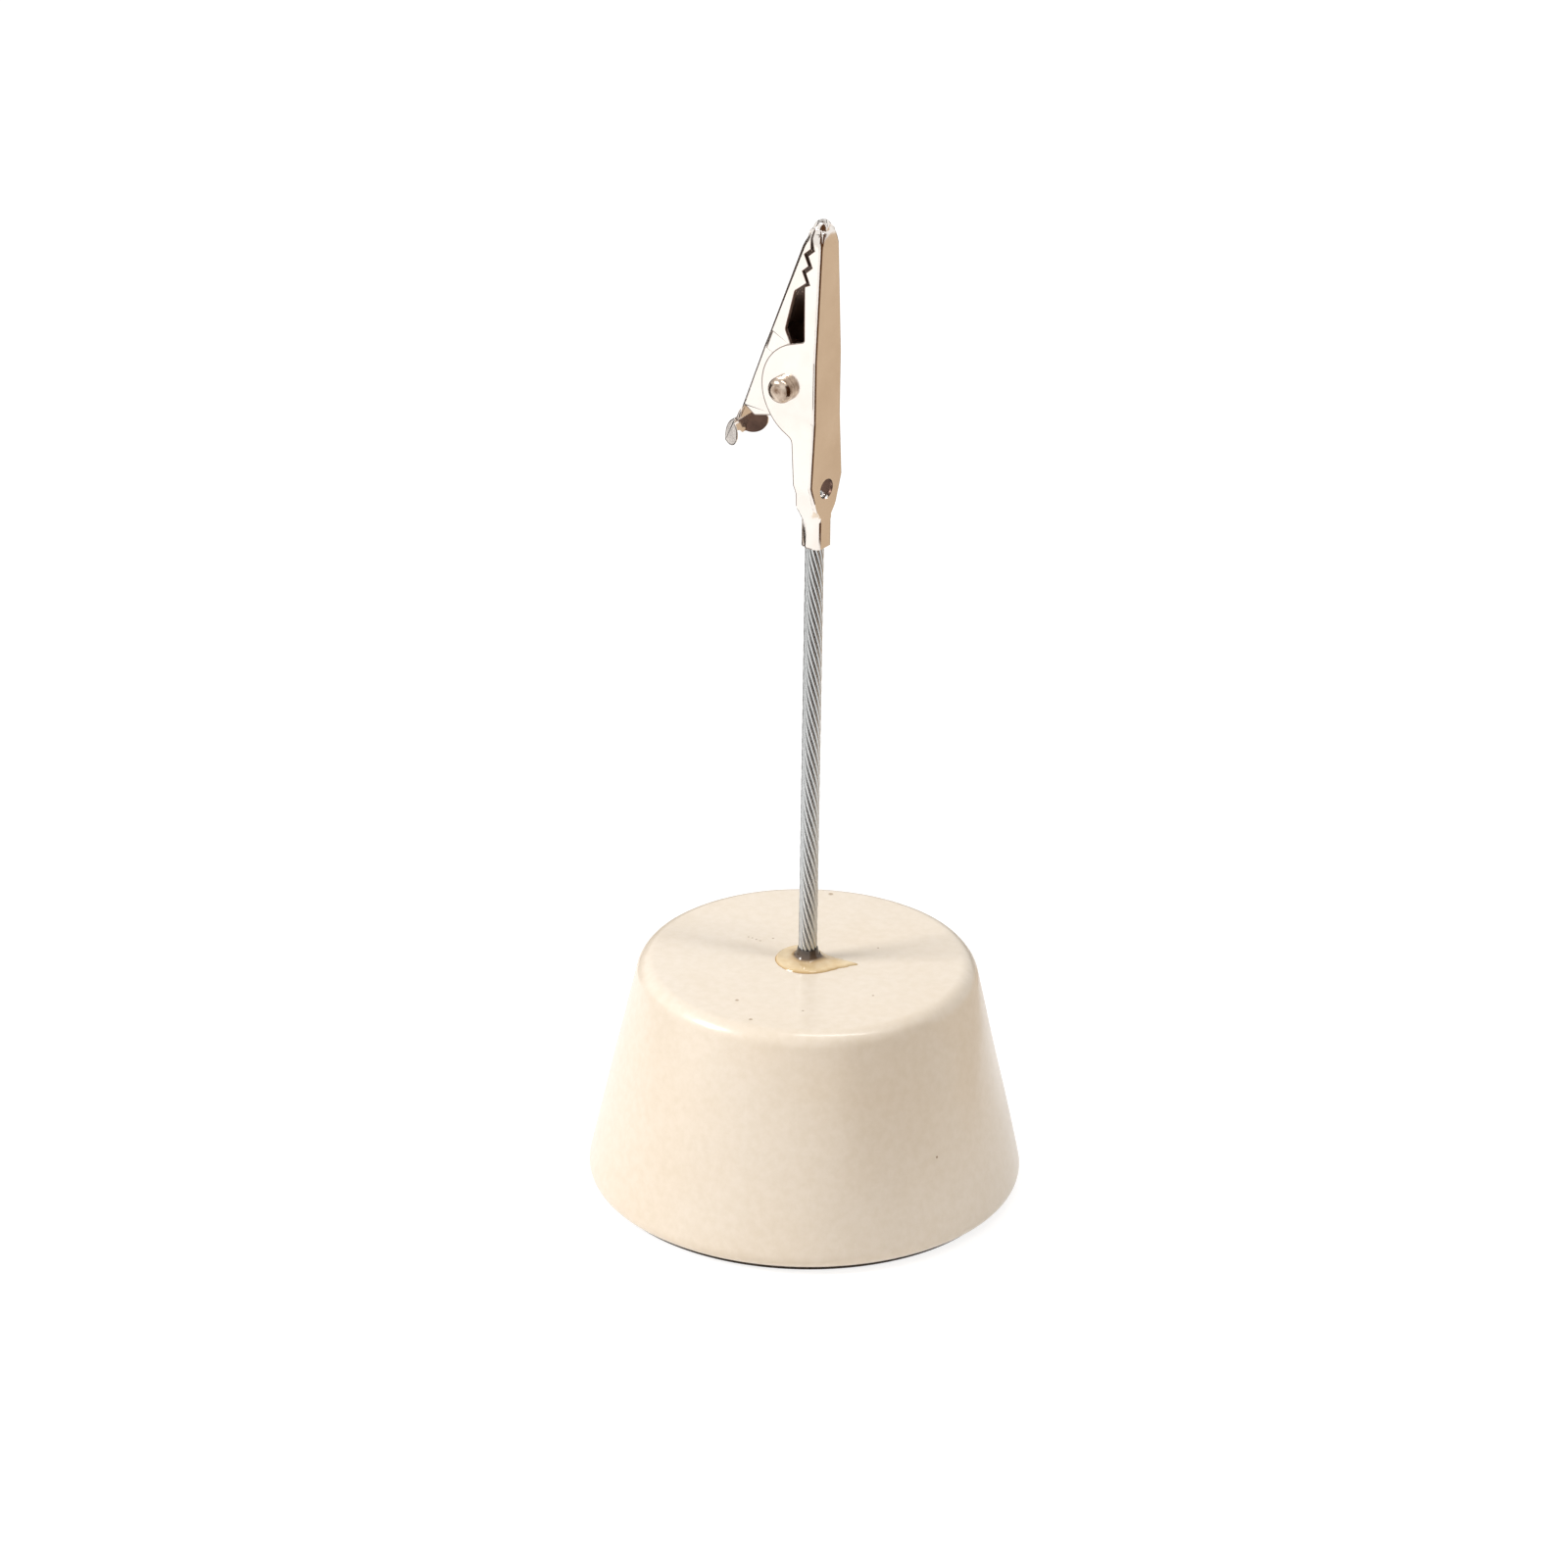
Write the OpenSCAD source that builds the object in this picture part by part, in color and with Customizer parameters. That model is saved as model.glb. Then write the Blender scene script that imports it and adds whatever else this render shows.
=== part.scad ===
// Memo clip holder: a cast tapered base, a stem of steel strand and a sprung toothed clip.
// Origin: centre of the underside. +Z up, the clip's rivet runs along Y, the fixed jaw is at +X.

/* [Base] */
// Width of the base at its foot
base_d = 44.3; // [36:0.1:60]
// Width of the base at its top, before the edge is rounded
base_top_d = 33.8; // [28:0.2:36]
// Height of the base, with its pad
base_h = 24.5; // [18:0.5:34]
// Rounding of the top edge
top_round = 1.8; // [0.5:0.1:3]
// Rounding of the foot's edge
foot_round = 1.4; // [0.3:0.1:1.8]
// Thickness of the pad under the base
pad_t = 0.5; // [0.3:0.1:2]
// How far the pad's rim lies in from the foot's edge
pad_inset = 1.7; // [0.6:0.1:4]

/* [Stem] */
// Width of each of the strand's wires
wire_d = 0.38; // [0.3:0.02:0.46]
// Length of the stem that shows between the base and the clip
stem_free = 46; // [25:1:70]
// Length of the stem inside the base
stem_in_base = 14; // [8:1:16]
// Length of the stem that stands up inside the clip, above its crimp
stem_in_clip = 2.6; // [1:0.1:4]
// Space between neighbouring wires
wire_gap = 0.01; // [0.005:0.005:0.03]

/* [Adhesive] */
// Space between the stem and the wall of its hole, filled with adhesive
glue_wall = 0.2; // [0.1:0.05:0.4]
// Radius of the adhesive's pool round the stem
pool_r = 3.1; // [2:0.1:5]
// Height of the pool
pool_h = 0.5; // [0.3:0.1:1]
// Height of the collar that the adhesive draws up round the stem
collar_h = 1.5; // [0.8:0.1:2.5]
// Reach of the pool's run, from the stem
run_reach = 4.9; // [3.2:0.1:7]
// Direction of the run, seen from above
run_turn = 28; // [0:1:360]

/* [Clip] */
// Thickness of the clip's sheet
sheet_t = 0.32; // [0.26:0.02:0.4]
// Length of the clip, from the crimp's end to the nose
clip_l = 35; // [32:0.5:42]
// Length of the crimp
crimp_l = 2.9; // [2.4:0.1:3.6]
// Length of the neck, where the sides draw in to the crimp
neck_l = 3.3; // [2.6:0.1:3.8]
// Clearance round the stem in the crimp
crimp_fit = 0.02; // [0:0.01:0.05]
// Width of the seam where the crimp's wings meet
seam_w = 0.3; // [0.1:0.05:0.6]
// Direction of the seam, from the clip's front round to its side
seam_turn = 58; // [0:1:60]
// Lean of the seam along the crimp
seam_lean = 10; // [0:1:15]
// Outer radius of the folds between the backs and the sides
fold_r = 0.4; // [0.34:0.02:0.6]
// Outer width of the clip at its nose
nose_w = 3; // [2.4:0.1:3.2]
// Outer width of the fixed jaw at its ears
ear_w = 4.5; // [4.2:0.1:5.2]
// Outer width of the fixed jaw at its tail
tail_w = 5.4; // [5:0.1:6.5]
// How far the back stands out from the crimp's tube
back_rise = 0.06; // [0.02:0.01:0.1]
// Radius of the fixed jaw's ears
ear_r = 5.25; // [5.1:0.05:5.4]
// Distance of the ears' centre from the rivet's axis, towards the back
ear_in = 2.5; // [2.4:0.05:2.6]
// Depth of the fixed jaw's sides at their lower ends
tail_low_d = 2.02; // [1.6:0.02:2.4]
// Depth of the fixed jaw's sides under the ears
tail_top_d = 2.64; // [2.4:0.02:2.8]
// Depth of the fixed jaw's sides over the ears
slot_low_d = 1.48; // [1.2:0.02:1.7]
// Depth of the fixed jaw's sides under the teeth
slot_top_d = 1.79; // [1.5:0.01:1.9]
// Width of the round hole in the tail
tail_hole_d = 2.1; // [1.5:0.1:2.4]
// Height of the tail hole above the crimp's end
tail_hole_z = 6.4; // [6:0.1:8]

/* [Jaws] */
// Depth of the fixed jaw at the nose, from its back
fixed_nose_d = 1.19; // [1.05:0.02:1.4]
// Depth of the moving jaw at the nose
moving_nose_d = 0.94; // [0.7:0.02:1.1]
// Distance from the rivet's axis to the moving jaw's back, across the clip
moving_back_d = 4.22; // [4.1:0.02:4.4]
// Number of teeth on each jaw
teeth = 3; // [2:1:4]
// Spacing of the teeth
tooth_pitch = 1.83; // [1.5:0.01:2]
// Height of the teeth
tooth_h = 0.68; // [0.4:0.02:0.8]
// Space between the two rows of teeth, closed
tooth_gap = 0.45; // [0.2:0.05:0.6]
// Space between the two noses, closed
nose_gap = 0.1; // [0.06:0.02:0.2]

/* [Thumb tab] */
// Width of the thumb tab where it stands out furthest
tab_w = 2.2; // [2:0.1:3]
// Radius of the tab's dish
tab_r = 3.1; // [2.8:0.05:3.6]
// Sweep of the dish
tab_sweep = 68; // [60:1:90]
// Radius of the lobes at the tab's sides
lobe_r = 1.5; // [1.3:0.05:1.8]
// Angle that the lobes flare outwards by
lobe_flare = 28; // [0:1:40]
// Radius of the scoop in the tab's end
end_bow_r = 1; // [0.6:0.1:1.2]
// Depth of the scoop
end_bow = 0.5; // [0.3:0.1:0.8]

/* [Pivot] */
// Distance from the fixed jaw's back to the rivet's axis
pivot_d = 3.76; // [3.6:0.02:3.9]
// Height of the rivet above the crimp's end
pivot_z = 17; // [16.5:0.1:17.5]
// Width of the rivet's shank
rivet_d = 1.6; // [1.2:0.1:2]
// Width of the rivet's heads
head_d = 2.7; // [2.2:0.1:3.4]
// Height of the rivet's heads
head_h = 1.35; // [0.6:0.05:1.5]
// Running clearance round the rivet in the moving jaw
run_fit = 0.05; // [0.03:0.01:0.09]
// Clearance round the rivet in the fixed jaw
seat_fit = 0.02; // [0:0.01:0.05]
// Space between the sides of the two jaws
side_gap = 0.06; // [0.04:0.01:0.12]

/* [Spring] */
// Width of the spring's wire
spring_wire_d = 0.36; // [0.3:0.02:0.4]
// Radius of the spring's coil, at the middle of its wire
coil_r = 1.7; // [1.4:0.05:2]
// Whole turns of the coil, besides the part turn between its legs
coil_turns = 3; // [2:1:3]
// How far below the rivet the leg on the fixed jaw ends
fixed_leg = 7; // [5:0.1:8]
// How far below the coil the leg on the moving jaw ends, along the jaw
moving_leg = 3.6; // [2.5:0.1:4]
// Space between the spring and what it lies against
spring_gap = 0.05; // [0.03:0.01:0.1]

/* [Hidden] */
OUTER_WIRES = 12;
INNER_WIRES = 6;
$fn = 64;

// Reach of the cuts past what they cut
cut = 1;
// Steps along a rounded corner
round_steps = 6;
// Overlap of the fold cuts at their joins
fold_overlap = 0.1;
// How much fuller the folds' arcs are than the quarter circle that just meets the two faces
fold_ease = 1.015;

// Stem
stem_r = wire_d * 2.5;
stem_bottom = base_h - stem_in_base;
clip_z = base_h + stem_free;
stem_top = clip_z + crimp_l + stem_in_clip;
hole_r = stem_r + glue_wall;
hole_spare = 0.5;

// Clip: depths are measured from the fixed jaw's back, heights from the crimp's end
crimp_r = stem_r + crimp_fit + sheet_t;
back_x = crimp_r + back_rise;
pivot_x = back_x - pivot_d;
// Widening of the neck's round part, for each unit of height
neck_flare = 0.5;
sides_z = crimp_l + neck_l;
tail_wide_z = sides_z + 1;
waist_z = pivot_z - 3;
shoulder_z = pivot_z + 3.6;
ear_top_z = pivot_z + 5.5;
ear_low_z = pivot_z - 5.2;
// Angles at which the ears' round edge starts and ends, from straight up and straight down
ear_rise = 25;
ear_fall = 31;

// Noses and teeth
nose_z = clip_l - 1.5;
nose_round = 0.9;
bite_slope = 0.1;
first_root = clip_l - 2.74;
tooth_lead = 0.7;
teeth_end = root_z(teeth - 1);
tongue_w = 1.3;
tongue_l = 0.75;

// Moving jaw
moving_w = ear_w - 2 * sheet_t - 2 * side_gap;
moving_nose_x = back_x - fixed_nose_d - moving_nose_d;
moving_nose_z = clip_l - 1.8;
moving_nose_round = 0.6;
jaw_slant = atan((moving_nose_x - pivot_x + moving_back_d) / (moving_nose_z - pivot_z));
skew_t = sheet_t / cos(jaw_slant);
neck_z = pivot_z - 4.9;
heel_z = pivot_z - 3.3;
// The corners of the moving jaw's sides, from the heel round the rivet.
// Each is [x, z, rounding], from the rivet's axis.
moving_ear = [
    [-3.8, -4.06, 0.4],
    [-1.3, -3.4, 1],
    [1.7, -1.6, 1.2],
    [1.8, 1.6, 1.4],
    [0.47, 4.6, 0.8],
    [-0.27, 6.1, 0.6]
];
// The moving jaw's sides under its teeth: how far they lie in from the line that the jaws meet on,
// and how far below the teeth
moving_slot_d = 1.17;
moving_slot_drop = 1.2;

// Thumb tab: the angle that its dish starts at, and the bend's lap over what it joins
tab_start = 117;
bend_lap = 10;
// The lobes' middle: how far in from the dish's furthest point, and how far above it
lobe_in = 0.77;
lobe_up = 1.09;

function unit(v) = v / norm(v);

// The short way round from one angle to another
function turn(a, b) = (b - a + 540) % 360 - 180;

// A corner at b between a and c, rounded to radius r
function corner(a, b, c, r) =
    r == 0 ? [b] :
    let (u = unit(a - b), w = unit(c - b), half = acos(u * w) / 2)
    let (mid = b + unit(u + w) * r / sin(half))
    let (s = b + u * r / tan(half) - mid, e = b + w * r / tan(half) - mid)
    let (a0 = atan2(s.y, s.x), sweep = turn(a0, atan2(e.y, e.x)))
    arc(mid, r, a0, sweep, round_steps);

// An outline from corners [x, z, rounding]
function rounded(c) =
    let (n = len(c), p = [for (q = c) [q.x, q.y]])
    [for (i = [0:n - 1]) each corner(p[(i + n - 1) % n], p[i], p[(i + 1) % n], c[i].z)];

function arc(mid, r, a0, sweep, steps) =
    [for (k = [0:steps]) mid + r * [cos(a0 + sweep * k / steps), sin(a0 + sweep * k / steps)]];

// The line that the two jaws meet on
function bite(z) = back_x - fixed_nose_d - bite_slope * (clip_l - 1 - z);

// Height of a tooth's root
function root_z(i) = first_root - i * tooth_pitch;

// The teeth's zigzag, moved sideways by off
function zigzag(off) = [
    for (i = [0:teeth - 1]) each [
        if (i > 0) let (z = root_z(i - 1) - tooth_lead) [bite(z) - tooth_h / 2 + off, z],
        let (z = root_z(i)) [bite(z) + tooth_h / 2 + off, z]
    ]
];

// The moving jaw's back, closed: its outer and inner faces
function moving_back(z) = moving_nose_x - (moving_nose_z - z) * tan(jaw_slant);
function moving_inside(z) = moving_back(z) + skew_t;

// The tab's dish: the middle of its round, its end, and its half width, which grows with the lobes' flare
tab_mid = [moving_back(neck_z), neck_z] - tab_r * [cos(tab_start), sin(tab_start)];
tab_end = tab_mid + tab_r * [cos(tab_start + tab_sweep), sin(tab_start + tab_sweep)];
// Half width of the tab, widening with the lobes' flare
function tab_half(x) = tab_w / 2 + (x - tab_mid.x + tab_r) * tan(lobe_flare);

function flat(points) = [for (p = points) [p.x, p.y, 0]];
function reversed(v) = [for (i = [len(v) - 1:-1:0]) v[i]];
function mirrored(v) = concat(v, [for (p = reversed(v)) [-p.x, p.y]]);

// Half widths by height: [half width, height]
function fixed_half(z) = ear_w / 2 - (z - shoulder_z) * (ear_w - nose_w) / 2 / (clip_l - 1 - shoulder_z);
fixed_halves = [
    [crimp_r + back_rise, crimp_l - cut],
    [crimp_r + back_rise, crimp_l],
    [tail_w / 2, tail_wide_z],
    [ear_w / 2, waist_z],
    [ear_w / 2, shoulder_z],
    [nose_w / 2, clip_l - 1],
    [nose_w / 2, clip_l + cut]
];
moving_halves = [
    [tab_half(moving_back(neck_z)), neck_z - 2 * tab_r],
    [tab_half(moving_back(neck_z)), neck_z],
    [moving_w / 2, heel_z - 0.2],
    [moving_w / 2, shoulder_z],
    [fixed_half(ear_top_z) - sheet_t - side_gap, ear_top_z],
    [nose_w / 2, clip_l - 1],
    [nose_w / 2, clip_l + cut]
];
function front(halves, wall) = mirrored([for (p = halves) [p.x - wall, p.y]]);

// Outlines seen along Y
function fixed_side() = rounded(concat(
    [
        [back_x, crimp_l, 0],
        [back_x, clip_l, nose_round],
        [bite(clip_l) + nose_gap / 2, clip_l, 0],
        [bite(nose_z) + nose_gap / 2, nose_z, 0]
    ],
    flat(zigzag(tooth_gap / 2)),
    [
        [back_x - slot_top_d, teeth_end - 0.3, 0.1],
        [back_x - slot_low_d, ear_top_z, 0.3],
        [pivot_x + ear_in - ear_r * sin(ear_rise), pivot_z + ear_r * cos(ear_rise), 0],
        [pivot_x + ear_in - ear_r * sin(ear_fall), pivot_z - ear_r * cos(ear_fall), 0],
        [back_x - tail_top_d, ear_low_z, 0.8],
        [back_x - tail_low_d, sides_z, 0.4],
        [-crimp_r - back_rise, crimp_l, 0]
    ]
));
function fixed_hollow() = rounded([
    [back_x - sheet_t, crimp_l - cut, 0],
    [back_x - sheet_t, clip_l - sheet_t, nose_round - sheet_t],
    [pivot_x - 2 * ear_r, clip_l - sheet_t, 0],
    [pivot_x - 2 * ear_r, crimp_l - cut, 0]
]);

function moving_side() = rounded(concat(
    [
        [bite(clip_l) - nose_gap / 2, clip_l, 0],
        [moving_nose_x, clip_l, moving_nose_round],
        [moving_nose_x, moving_nose_z, 0],
        [moving_back(neck_z), neck_z, 0],
        [moving_inside(neck_z), neck_z, 0],
        [moving_inside(heel_z), heel_z, 0],
        each [for (c = moving_ear) c + [pivot_x, pivot_z, 0]],
        [bite(teeth_end - moving_slot_drop) - moving_slot_d, teeth_end - moving_slot_drop, 0.3]
    ],
    flat(reversed(zigzag(-tooth_gap / 2))),
    [[bite(nose_z) - nose_gap / 2, nose_z, 0]]
));
function moving_hollow() = rounded([
    [moving_nose_x + sheet_t, clip_l - sheet_t, moving_nose_round - sheet_t],
    [moving_nose_x + sheet_t, moving_nose_z, 0],
    [moving_inside(neck_z), neck_z, 0],
    [moving_inside(neck_z - cut), neck_z - cut, 0],
    [back_x, neck_z - cut, 0],
    [back_x, clip_l - sheet_t, 0]
]);

// Solids from outlines seen along Y, along X and from above
module along_y(points) rotate([90, 0, 0]) linear_extrude(2 * tail_w, center = true) polygon(points);
module along_x(points) rotate([90, 0, 90]) linear_extrude(4 * clip_l, center = true) polygon(points);
module rod_y(x, z, r, l) translate([x, 0, z]) rotate([90, 0, 0]) cylinder(r = r, h = l, center = true);

module base_body() {
    side = rounded([
        [0, pad_t, 0],
        [base_d / 2, pad_t, foot_round],
        [base_top_d / 2, base_h, top_round],
        [0, base_h, 0]
    ]);
    color("#F0E4D2") difference() {
        rotate_extrude() polygon(side);
        translate([0, 0, stem_bottom - hole_spare]) cylinder(r = hole_r, h = base_h);
    }
}

module base_pad() {
    color("#4A4038") cylinder(r = base_d / 2 - pad_inset, h = pad_t);
}

// A low drop of adhesive, thinning to nothing at its rim
module drop(r, h) {
    rise = (r * r + h * h) / (2 * h);
    sweep = asin(r / rise);
    rotate_extrude() polygon(concat([[0, 0]], arc([0, h - rise], rise, 90 - sweep, sweep, round_steps)));
}

module glue_bead() {
    collar_r = 2 * stem_r;
    bore_r = stem_r + wire_gap;
    run = run_reach - pool_r / 2;
    color("#DCC394") difference() {
        union() {
            translate([0, 0, base_h]) {
                drop(pool_r, pool_h);
                rotate([0, 0, run_turn]) translate([run, 0, 0]) drop(pool_r / 2, pool_h / 2);
                rotate([0, 0, run_turn]) translate([run / 2, 0, 0]) drop(pool_r * 0.7, pool_h * 0.7);
                rotate_extrude() polygon(concat(
                    [[0, 0], [collar_r, 0]],
                    arc([collar_r, collar_h], collar_r - stem_r - wire_gap, 270, -90, round_steps),
                    [[0, collar_h]]
                ));
            }
            translate([0, 0, stem_bottom - hole_spare])
                cylinder(r = hole_r, h = base_h - stem_bottom + hole_spare);
        }
        translate([0, 0, stem_bottom]) cylinder(r = bore_r, h = base_h);
    }
}

// One wire of the strand, at its place in its layer
module stem_wire(layer_r, angle) {
    color("#A9A8A4") rotate([0, 0, angle]) translate([layer_r, 0, stem_bottom])
        cylinder(d = wire_d - wire_gap, h = stem_top - stem_bottom, $fn = 24);
}

// The crimp: a tube that the back's two wings make round the stem, with a seam where they meet
module crimp() {
    difference() {
        linear_extrude(crimp_l) difference() {
            circle(r = crimp_r);
            circle(r = stem_r + crimp_fit);
        }
        seam();
    }
}

// The seam, as a slanted slot from the stem outwards
module seam() {
    rotate([0, 0, seam_turn]) translate([0, 0, crimp_l / 2]) rotate([-seam_lean, 0, 0])
        translate([-2 * crimp_r, -seam_w / 2, -crimp_l]) cube([2 * crimp_r, seam_w, 2 * crimp_l]);
}

// A round form over the crimp's end that widens as the neck does
module flare(r) {
    h = 2 * clip_l;
    translate([0, 0, crimp_l]) cylinder(r1 = r, r2 = r + h * neck_flare, h = h);
}

// The lip's tongue, as a wedge that points to the fixed jaw
module tongue(grow) {
    w = tongue_w / 2 + grow;
    x = bite(clip_l) - nose_gap / 2 - sheet_t / 2;
    translate([x, 0, clip_l - sheet_t - grow]) linear_extrude(sheet_t + 2 * grow)
        polygon([[0, -w], [sheet_t / 2, -w], [sheet_t / 2 + tongue_l + grow, 0], [sheet_t / 2, w], [0, w]]);
}

// What a fold's rounding takes off: at each side, along the stretches first to last of the half widths.
// The back passes through x at height z and slants by lean.
module fold_cuts(halves, first, last, x, z, lean, r) {
    for (side = [0, 1], i = [first:last]) {
        from = halves[i];
        to = halves[i + 1];
        run = (to.y - from.y) / cos(lean);
        splay = atan((to.x - from.x) / run);
        mirror([0, side, 0]) translate([x + (from.y - z) * tan(lean), from.x, from.y])
            rotate([0, lean, 0]) rotate([-splay, 0, 0]) translate([0, 0, -fold_overlap])
                linear_extrude(run / cos(splay) + 2 * fold_overlap) difference() {
                    translate([-r, -r]) square(r + cut);
                    translate([-r, -r]) circle(r = r * fold_ease);
                }
    }
}

module fixed_outer() {
    difference() {
        intersection() {
            union() {
                along_y(fixed_side());
                intersection() {
                    rod_y(pivot_x + ear_in, pivot_z, ear_r, 2 * tail_w);
                    along_y([
                        [pivot_x - ear_r, ear_low_z],
                        [back_x - sheet_t, ear_low_z],
                        [back_x - sheet_t, pivot_z],
                        [pivot_x + ear_in - ear_r * sin(ear_rise), pivot_z + ear_r * cos(ear_rise)],
                        [pivot_x - ear_r, pivot_z + ear_r]
                    ]);
                }
            }
            along_x(front(fixed_halves, 0));
            flare(crimp_r);
        }
        fold_cuts(fixed_halves, 1, 5, back_x, 0, 0, fold_r);
    }
}

module fixed_inner() {
    intersection() {
        along_y(fixed_hollow());
        along_x(front(fixed_halves, sheet_t));
        translate([0, 0, -cut]) flare(crimp_r - sheet_t - cut * neck_flare);
    }
}

module fixed_jaw() {
    color("#CDB79B") translate([0, 0, clip_z]) difference() {
        union() {
            difference() {
                fixed_outer();
                fixed_inner();
            }
            crimp();
        }
        rod_y(pivot_x, pivot_z, rivet_d / 2 + seat_fit, 2 * tail_w);
        translate([back_x, 0, tail_hole_z]) rotate([0, 90, 0])
            cylinder(d = tail_hole_d, h = 2 * sheet_t + cut, center = true);
        tongue(nose_gap);
    }
}

// The sector that the thumb tab's strip fills
module tab_sector() {
    far = 3 * tab_r;
    along_y([
        tab_mid,
        tab_mid + far * [cos(tab_start), sin(tab_start)],
        tab_mid + [-far, 0],
        tab_mid + far * [cos(tab_start + tab_sweep), sin(tab_start + tab_sweep)]
    ]);
}

// What lies between the tab's two flared sides, seen from above and drawn in by wall
module tab_wedge(wall) {
    near = tab_mid.x - 2 * tab_r;
    far = tab_mid.x + 2 * tab_r;
    translate([0, 0, -clip_l]) linear_extrude(3 * clip_l) polygon([
        [near, max(cut / 100, tab_half(near) - wall)],
        [far, tab_half(far) - wall],
        [far, wall - tab_half(far)],
        [near, -max(cut / 100, tab_half(near) - wall)]
    ]);
}

// The bend between the moving jaw's back and the tab, filled between their ends and lapped into both
module tab_bend() {
    c = [moving_back(neck_z), neck_z];
    from = tab_start - 180 - bend_lap;
    to = bend_lap;
    rotate([90, 0, 0]) linear_extrude(2 * tab_half(c.x), center = true)
        polygon(concat([c], arc(c, sheet_t, from, to - from, round_steps)));
}

// The thumb tab: a dished strip with a rounded lobe at each side, its end scooped between them
module tab_solid() {
    difference() {
        union() {
            tab_bend();
            intersection() {
                difference() {
                    rod_y(tab_mid.x, tab_mid.y, tab_r, 4 * tab_w);
                    rod_y(tab_mid.x, tab_mid.y, tab_r - sheet_t, 5 * tab_w);
                }
                tab_sector();
                tab_wedge(0);
            }
            intersection() {
                rod_y(tab_mid.x, tab_mid.y, tab_r, 4 * tab_w);
                rod_y(tab_mid.x - tab_r + lobe_in, tab_mid.y + lobe_up, lobe_r, 4 * tab_w);
                difference() {
                    tab_wedge(0);
                    tab_wedge(sheet_t / cos(lobe_flare));
                }
            }
        }
        translate([0, 0, tab_end.y + end_bow - end_bow_r]) rotate([0, 90, 0])
            cylinder(r = end_bow_r, h = 4 * clip_l, center = true);
    }
}

module moving_outer() {
    difference() {
        intersection() {
            along_y(moving_side());
            along_x(front(moving_halves, 0));
        }
        mirror([1, 0, 0]) fold_cuts(moving_halves, 2, 4, -moving_nose_x, moving_nose_z, -jaw_slant, fold_r);
    }
}

module moving_inner() {
    intersection() {
        along_y(moving_hollow());
        along_x(front(moving_halves, sheet_t));
    }
}

module moving_jaw() {
    color("#E4DED4") translate([0, 0, clip_z]) difference() {
        union() {
            difference() {
                moving_outer();
                moving_inner();
            }
            tab_solid();
            tongue(0);
        }
        rod_y(pivot_x, pivot_z, rivet_d / 2 + run_fit, 2 * tail_w);
    }
}

// The rivet: a shank with a round head outside each ear
module pivot_rivet() {
    rim = 0.35;
    head = rounded([
        [0, 0, 0],
        [head_d / 2, 0, 0],
        [head_d / 2, head_h, rim],
        [0, head_h, 0]
    ]);
    color("#D9D2C6") translate([pivot_x, 0, clip_z + pivot_z]) {
        rotate([90, 0, 0]) cylinder(d = rivet_d, h = ear_w + sheet_t, center = true);
        for (s = [0, 180]) rotate([90, 0, s]) translate([0, 0, ear_w / 2]) rotate_extrude() polygon(head);
    }
}

// The spring's route in the plane of its coil, seen along Y, from the rivet's axis
leg_a_end = [pivot_d - sheet_t - spring_wire_d / 2 - spring_gap, -fixed_leg];
inside_n = [-cos(jaw_slant), sin(jaw_slant)];
inside_t = [-sin(jaw_slant), -cos(jaw_slant)];
pivot_to_inside = (moving_inside(pivot_z) - pivot_x) * -cos(jaw_slant);
leg_b_end = inside_n * (pivot_to_inside - spring_wire_d / 2 - spring_gap) + inside_t * moving_leg;
function heading(v) = atan2(v.y, v.x);
coil_a0 = heading(leg_a_end) + acos(coil_r / norm(leg_a_end));
coil_a1 = heading(leg_b_end) - acos(coil_r / norm(leg_b_end));
coil_sweep = 360 * coil_turns + (coil_a1 - coil_a0 + 720) % 360;
coil_half = (moving_w - 2 * sheet_t) / 2 - spring_wire_d / 2 - spring_gap;
curl_rings = 8;
coil_rings = round(coil_sweep / 360 * curl_rings);
function coil_at(f) =
    let (a = coil_a0 + coil_sweep * f)
    [coil_r * cos(a), coil_half * (2 * f - 1), coil_r * sin(a)];
spring_route = concat(
    [[leg_a_end.x, -coil_half, leg_a_end.y]],
    [for (k = [0:coil_rings]) coil_at(k / coil_rings)],
    [[leg_b_end.x, coil_half, leg_b_end.y]]
);
// The coil's least gap to itself, measured between its points half a turn or more apart
spring_gap_to_itself = min([
    for (i = [0:len(spring_route) - 1], j = [i + curl_rings / 2:1:len(spring_route) - 1])
        norm(spring_route[i] - spring_route[j])
]) - spring_wire_d;
echo(spring_gap_to_itself = spring_gap_to_itself);

// A tube along a route: each ring stands square to the route
tube_sides = 6;
function tube_ring(route, i, r) =
    let (n = len(route), t = unit(route[min(i + 1, n - 1)] - route[max(i - 1, 0)]))
    let (s = unit(cross(t, [0, 1, 0])), u = cross(s, t))
    [for (k = [0:tube_sides - 1]) let (a = 360 * k / tube_sides) route[i] + r * (s * cos(a) + u * sin(a))];

module tube(route, r) {
    n = len(route);
    points = [for (i = [0:n - 1]) each tube_ring(route, i, r)];
    walls = [
        for (i = [0:n - 2], k = [0:tube_sides - 1])
            let (a = i * tube_sides + k, b = i * tube_sides + (k + 1) % tube_sides)
            each [[a, b, b + tube_sides], [a, b + tube_sides, a + tube_sides]]
    ];
    start_cap = [for (k = [1:tube_sides - 2]) [0, k + 1, k]];
    last = (n - 1) * tube_sides;
    end_cap = [for (k = [1:tube_sides - 2]) [last, last + k, last + k + 1]];
    polyhedron(points, concat(start_cap, walls, end_cap));
}

module torsion_spring() {
    color("#8E8C88") translate([pivot_x, 0, clip_z + pivot_z]) tube(spring_route, spring_wire_d / 2);
}

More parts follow.
